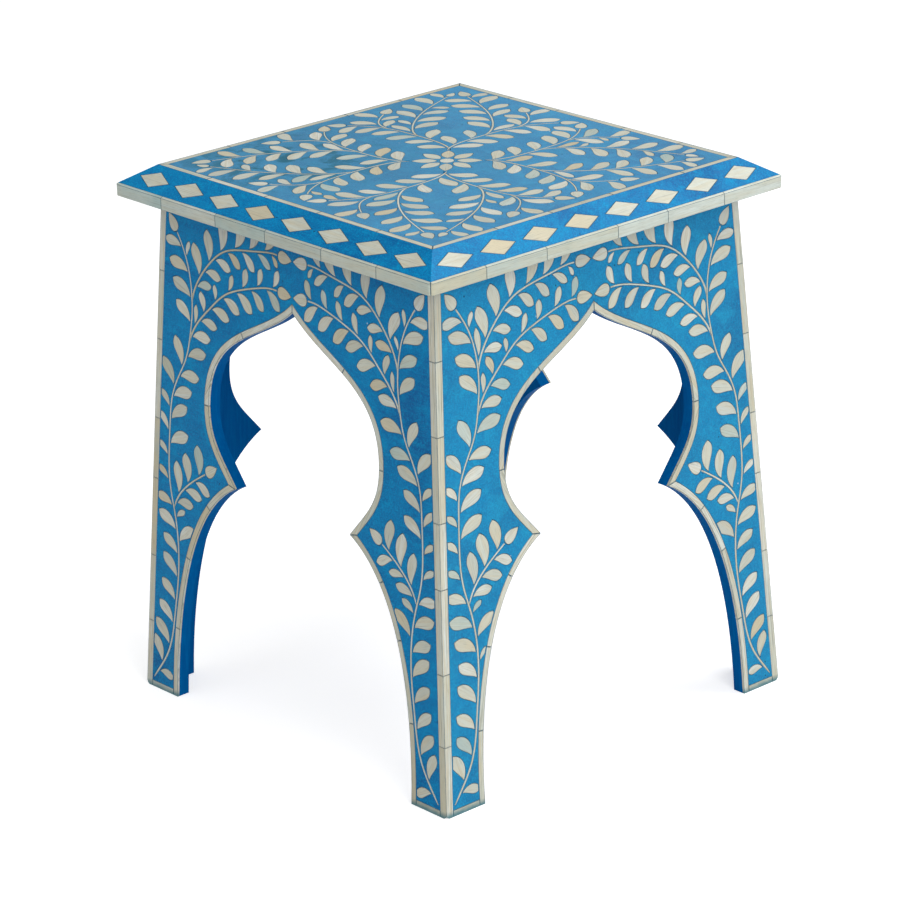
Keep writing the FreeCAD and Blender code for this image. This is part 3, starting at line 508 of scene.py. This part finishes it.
def islands(bm):
    """The mesh's separate pieces, each a list of faces, in the order of their places."""
    left, found = set(bm.faces), []
    while left:
        queue = [left.pop()]
        piece = []
        while queue:
            face = queue.pop()
            piece.append(face)
            for edge in face.edges:
                for other in edge.link_faces:
                    if other in left:
                        left.remove(other)
                        queue.append(other)
        found.append(piece)
    return sorted(found, key=lambda faces: [round(c, 5) for c in middle(faces)])


def long_axis(points, normal):
    """The direction across a flat set of points in which it reaches furthest."""
    side = normal.orthogonal().normalized()
    other = normal.cross(side)
    centre = sum(points, Vector()) / len(points)
    flat = [((p - centre).dot(side), (p - centre).dot(other)) for p in points]
    xx = sum(x * x for x, _ in flat)
    yy = sum(y * y for _, y in flat)
    xy = sum(x * y for x, y in flat)
    angle = math.atan2(2 * xy, xx - yy) / 2
    return side * math.cos(angle) + other * math.sin(angle)


def main_face(faces, facing):
    """A piece's largest face, where one that looks outward counts for more."""
    def weight(f):
        return f.calc_area() * (outward_weight if facing and f.normal.dot(facing) > 0 else 1)
    return max(faces, key=weight)


def joined(node):
    """A copy of a node's mesh, its doubled points merged and each of its flats made one face."""
    bm = bmesh.new()
    bm.from_mesh(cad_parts[node].data)
    bmesh.ops.remove_doubles(bm, verts=bm.verts, dist=merge_distance)
    bmesh.ops.dissolve_limit(bm, angle_limit=flat_angle, verts=bm.verts, edges=bm.edges)
    return bm


def lay_grain(bm, number, grains):
    """Lays the grain on each piece along its own length, and keeps only its broad faces flat."""
    uv = bm.loops.layers.uv.new("grain")
    largest = {}
    for f in bm.faces:
        along, across, shift = grains[f[number]]
        for loop in f.loops:
            point = loop.vert.co
            loop[uv].uv = (point.dot(along) + shift.x, point.dot(across) + shift.y)
        largest[f[number]] = max(largest.get(f[number], 0), f.calc_area())
    for f in bm.faces:
        f.smooth = f.calc_area() < broad_share * largest[f[number]]


def dressed(node, slot, edge_width, facing=None, seed=0, line_width=0.0, soil=0.0,
            soiled_share=1.0, streaks=0.35, tone_reach=1.0):
    """Puts a finished copy in place of a node: arrises eased, each piece with its own tone."""
    chance = random.Random(seed)
    bm = joined(node)
    tone = bm.faces.layers.float.new("tone")
    rim = bm.faces.layers.float.new("rim")
    tint = bm.faces.layers.float.new("soil")
    streaky = bm.faces.layers.float.new("streaky")
    number = bm.faces.layers.int.new("number")
    # A band round each piece's shown face takes the outline colour: partly a glue line, partly
    # painted shade of the gap.
    if line_width:
        shown = [main_face(faces, facing) for faces in islands(bm)]
        band = bmesh.ops.inset_region(bm, faces=shown, thickness=line_width,
                                      use_even_offset=True, use_boundary=True)
        for f in band["faces"]:
            f[rim] = band_shade
    grains = []
    for index, faces in enumerate(islands(bm)):
        face = main_face(faces, facing)
        normal = face.normal.copy()
        along = long_axis([v.co for v in face.verts], normal)
        value = chance.random() * tone_reach
        shift = Vector((chance.uniform(0, stock_length), chance.uniform(0, stock_length)))
        grains.append((along, normal.cross(along), shift))
        soaked = soil * chance.uniform(least_soak, 1) * (chance.random() < soiled_share)
        for f in faces:
            f[tone], f[tint], f[streaky], f[number] = value, soaked, streaks, index
    keen = [e for e in bm.edges if len(e.link_faces) == 2 and e.calc_face_angle(0) > sharp_angle]
    eased = bmesh.ops.bevel(bm, geom=keen, offset=edge_width, segments=arris_steps,
                            profile=arris_profile, affect="EDGES", clamp_overlap=True)
    # The eased arris also takes the outline colour, as painted shade at the piece's edge.
    for f in eased["faces"]:
        f[rim] = arris_shade
    lay_grain(bm, number, grains)
    mesh = bpy.data.meshes.new(node + "_piece")
    bm.to_mesh(mesh)
    bm.free()
    set_in_place(mesh, node, slot)


def set_in_place(mesh, node, slot):
    """Puts a mesh in the scene in place of a node, riding on the stool."""
    piece = bpy.data.objects.new(node + "_piece", mesh)
    bpy.context.scene.collection.objects.link(piece)
    mesh.materials.append(material(slot))
    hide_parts(node)
    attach(piece, "root")


def coat(node, kind):
    """Gives a node of the frame its finish."""
    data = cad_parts[node].data
    data.materials.clear()
    data.materials.append(material(kind))


# How each kind of bone piece is dressed: its outline's share of the full width, how much blue it
# has taken up and on which share of its pieces, how streaky it is, and how far its tones spread
bone_looks = {
    "leaves": dict(soil=0.6, soiled_share=0.1),
    "buds": dict(soil=0.2, soiled_share=0.1),
    "stems": dict(line_share=0.5, soil=0.2, soiled_share=0.1),
    "side_strips": dict(line_share=0.6, soil=0.2, soiled_share=0.1, streaks=0.7),
    "arch_strips": dict(soil=0.2, soiled_share=0.1, streaks=0.7),
    "foot_strips": dict(soil=0.2, soiled_share=0.1, streaks=0.7),
    "strips": dict(soil=0.2, soiled_share=0.1, streaks=0.7),
    "edge_strips": dict(line_share=0.55, soil=0.55, streaks=0.3),
    "bevel_diamonds": dict(tone_reach=0.4),
    "top_flower": dict(),
}


def dress_bone(node, kind, facing, seed):
    """Dresses a node's bone pieces in the way of their kind."""
    finish = bpy.context.scene.stool_bone
    look = dict(bone_looks[kind])
    line_width = finish.line_width * look.pop("line_share", 1)
    dressed(node, "bone", finish.edge_width, facing, seed, line_width, **look)


def dress_places(*kinds):
    """Dresses the bone pieces of these kinds on the four panels and the top."""
    first = bpy.context.scene.stool_bone.seed * seeds_apart
    for kind in kinds:
        for index, (place, facing) in enumerate(outward.items()):
            node = place + "_" + kind
            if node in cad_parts:
                dress_bone(node, kind, facing, first + index)


# Operators: one for each group of like pieces, and one for the stage
class StoolLeaves(bpy.types.Operator):
    """Dress the bone leaves and buds of every vine"""
    bl_idname = "stool.leaves"
    bl_label = "Leaves and Buds"

    def execute(self, context):
        dress_places("leaves", "buds")
        return {"FINISHED"}


class StoolStems(bpy.types.Operator):
    """Dress the thin bone stems of every vine"""
    bl_idname = "stool.stems"
    bl_label = "Stems"

    def execute(self, context):
        dress_places("stems")
        return {"FINISHED"}


class StoolStrips(bpy.types.Operator):
    """Dress the bone strips along the panels, the arches, the feet and the top"""
    bl_idname = "stool.strips"
    bl_label = "Strips"

    def execute(self, context):
        dress_places("side_strips", "arch_strips", "foot_strips", "strips")
        dress_bone("edge_strips", "edge_strips", None, context.scene.stool_bone.seed)
        return {"FINISHED"}


class StoolDiamonds(bpy.types.Operator):
    """Dress the bone diamonds of the bevels and the flower of the top"""
    bl_idname = "stool.diamonds"
    bl_label = "Diamonds and Flower"

    def execute(self, context):
        seed = context.scene.stool_bone.seed
        dress_bone("bevel_diamonds", "bevel_diamonds", outward["top"], seed + 1)
        dress_bone("top_flower", "top_flower", outward["top"], seed + 2)
        return {"FINISHED"}


class StoolResin(bpy.types.Operator):
    """Give the poured resin of the panels, the bevels and the top its finish"""
    bl_idname = "stool.resin"
    bl_label = "Resin"

    def execute(self, context):
        for place in sides + ("bevel",):
            # The right panel takes the resin with painted light, the side the key light falls on.
            coat(place + "_resin", "faded_resin" if place == "right" else "blue_resin")
        # The top's resin carries painted sheen.
        coat("top_resin", "seat_resin")
        return {"FINISHED"}


class StoolBoards(bpy.types.Operator):
    """Paint the four panels and the top board"""
    bl_idname = "stool.boards"
    bl_label = "Painted Boards"

    def execute(self, context):
        edge_width = context.scene.stool_paint.edge_width
        coat("top_board", "painted_wood")
        for place in sides:
            dressed(place + "_panel", "painted_wood", edge_width, outward[place])
        return {"FINISHED"}


class StoolJoinery(bpy.types.Operator):
    """Finish the corner blocks, cleats and screws under the top"""
    bl_idname = "stool.joinery"
    bl_label = "Hidden Joinery"

    def execute(self, context):
        edge_width = context.scene.stool_paint.edge_width
        for place in sides:
            dressed(place + "_corner_block", "raw_wood", edge_width)
            coat(place + "_cleat", "raw_wood")
        coat("cleat_screws", "steel")
        return {"FINISHED"}


# The stage: each lamp's place and width, the point they shine at, and the camera's film
lamps = {
    "key": ((2.6, -0.9, 1.5), 1.8),
    "fill": ((-0.9, -2.6, 1.3), 1.8),
    "overhead": ((0.6, 1.2, 2.4), 2.0),
}
lamp_aim = Vector((0, 0, 0.25))
film_width = 36
white = (1, 1, 1, 1)


def make_floor(stage):
    """A plain pale floor, which holds the stool's shadow."""
    half = stage.floor_size / 2
    corners = [(-half, -half, 0), (half, -half, 0), (half, half, 0), (-half, half, 0)]
    mesh = bpy.data.meshes.new("floor")
    mesh.from_pydata(corners, [], [(0, 1, 2, 3)])
    floor = bpy.data.objects.new("floor", mesh)
    bpy.context.scene.collection.objects.link(floor)
    s = new_surface("pale_floor")
    matt = s.add("ShaderNodeBsdfDiffuse", {"Color": (*[stage.floor_grey] * 3, 1)})
    path = s.add("ShaderNodeLightPath").outputs
    seen = s.math("MAXIMUM", path["Is Camera Ray"], path["Is Glossy Ray"])
    seen = s.math("MAXIMUM", seen, path["Is Transmission Ray"])
    strength = s.math("MULTIPLY", seen, stage.floor_glow)
    glow = s.add("ShaderNodeEmission", {"Color": white, "Strength": strength})
    both = s.add("ShaderNodeAddShader", {0: matt.outputs["BSDF"], 1: glow.outputs["Emission"]})
    s.add("ShaderNodeOutputMaterial", {"Surface": both.outputs["Shader"]})
    mesh.materials.append(s.owner)


def make_room(stage):
    """Even light from all round, from a room that is seen as white."""
    s = Surface(bpy.data.worlds.new("room"))
    path = s.add("ShaderNodeLightPath").outputs
    seen = s.math("MAXIMUM", path["Is Camera Ray"], path["Is Transmission Ray"])
    strength = s.step(seen, 0, 1, stage.daylight, 1)
    background = s.add("ShaderNodeBackground", {"Color": white, "Strength": strength})
    s.add("ShaderNodeOutputWorld", {"Surface": background.outputs["Background"]})
    bpy.context.scene.world = s.owner


def hang_lamp(name, power, place, size):
    """A round soft lamp, turned to the stool."""
    lamp = bpy.data.lights.new(name, "AREA")
    lamp.energy, lamp.shape, lamp.size = power, "DISK", size
    holder = bpy.data.objects.new(name, lamp)
    bpy.context.scene.collection.objects.link(holder)
    holder.location = place
    holder.rotation_euler = (lamp_aim - Vector(place)).to_track_quat("-Z", "Y").to_euler()


def camera_matrix(stage):
    """Where the camera stands, from its angles, distance and aim."""
    turn, rise = stage.azimuth, stage.elevation
    flat = math.cos(rise)
    back = Vector((math.sin(turn) * flat, -math.cos(turn) * flat, math.sin(rise)))
    right = (-back).cross(Vector((0, 0, 1))).normalized()
    up = back.cross(right)
    cos, sin = math.cos(stage.roll), math.sin(stage.roll)
    across, upright = right * cos + up * sin, up * cos - right * sin
    matrix = Matrix((across, upright, back)).transposed().to_4x4()
    matrix.translation = Vector(stage.aim) + back * stage.distance
    return matrix


def make_camera(stage):
    """The camera, at the photograph's angle."""
    camera = bpy.data.cameras.new("camera")
    camera.lens, camera.sensor_width, camera.sensor_fit = stage.lens, film_width, "HORIZONTAL"
    camera.clip_end = stage.floor_size
    camera.dof.use_dof = False
    holder = bpy.data.objects.new("camera", camera)
    bpy.context.scene.collection.objects.link(holder)
    holder.matrix_world = camera_matrix(stage)
    bpy.context.scene.camera = holder


class StoolStage(bpy.types.Operator):
    """Set up the floor, the lights, the room and the camera"""
    bl_idname = "stool.stage"
    bl_label = "Stage"

    def execute(self, context):
        stage = context.scene.stool_stage
        make_floor(stage)
        make_room(stage)
        for name, (place, size) in lamps.items():
            hang_lamp(name, getattr(stage, name), place, size)
        make_camera(stage)
        context.scene.view_settings.view_transform = "Standard"
        return {"FINISHED"}


class StoolPanel(bpy.types.Panel):
    """The stool's groups of pieces, in the order in which they are made"""
    bl_idname = "VIEW3D_PT_stool"
    bl_label = "Inlaid Arch Stool"
    bl_space_type = "VIEW_3D"
    bl_region_type = "UI"
    bl_category = "Stool"

    def draw(self, context):
        column = self.layout.column()
        for operator in operators:
            column.operator(operator.bl_idname)
        for name in groups:
            box = self.layout.box()
            group = getattr(context.scene, name)
            for value in group.__annotations__:
                box.prop(group, value)


groups = {
    "stool_bone": BoneFinish,
    "stool_resin": ResinFinish,
    "stool_paint": PaintFinish,
    "stool_wood": WoodFinish,
    "stool_stage": StageSetting,
}
operators = (StoolBoards, StoolJoinery, StoolResin, StoolStrips, StoolStems, StoolLeaves,
             StoolDiamonds, StoolStage)
classes = tuple(groups.values()) + operators + (StoolPanel,)


def register():
    for item in classes:
        bpy.utils.register_class(item)
    for name, group in groups.items():
        setattr(bpy.types.Scene, name, PointerProperty(type=group))


def unregister():
    for name in groups:
        delattr(bpy.types.Scene, name)
    for item in reversed(classes):
        bpy.utils.unregister_class(item)


def main():
    register()
    bpy.ops.stool.boards()
    bpy.ops.stool.joinery()
    bpy.ops.stool.resin()
    bpy.ops.stool.strips()
    bpy.ops.stool.stems()
    bpy.ops.stool.leaves()
    bpy.ops.stool.diamonds()
    bpy.ops.stool.stage()


if __name__ == "__main__":
    main()
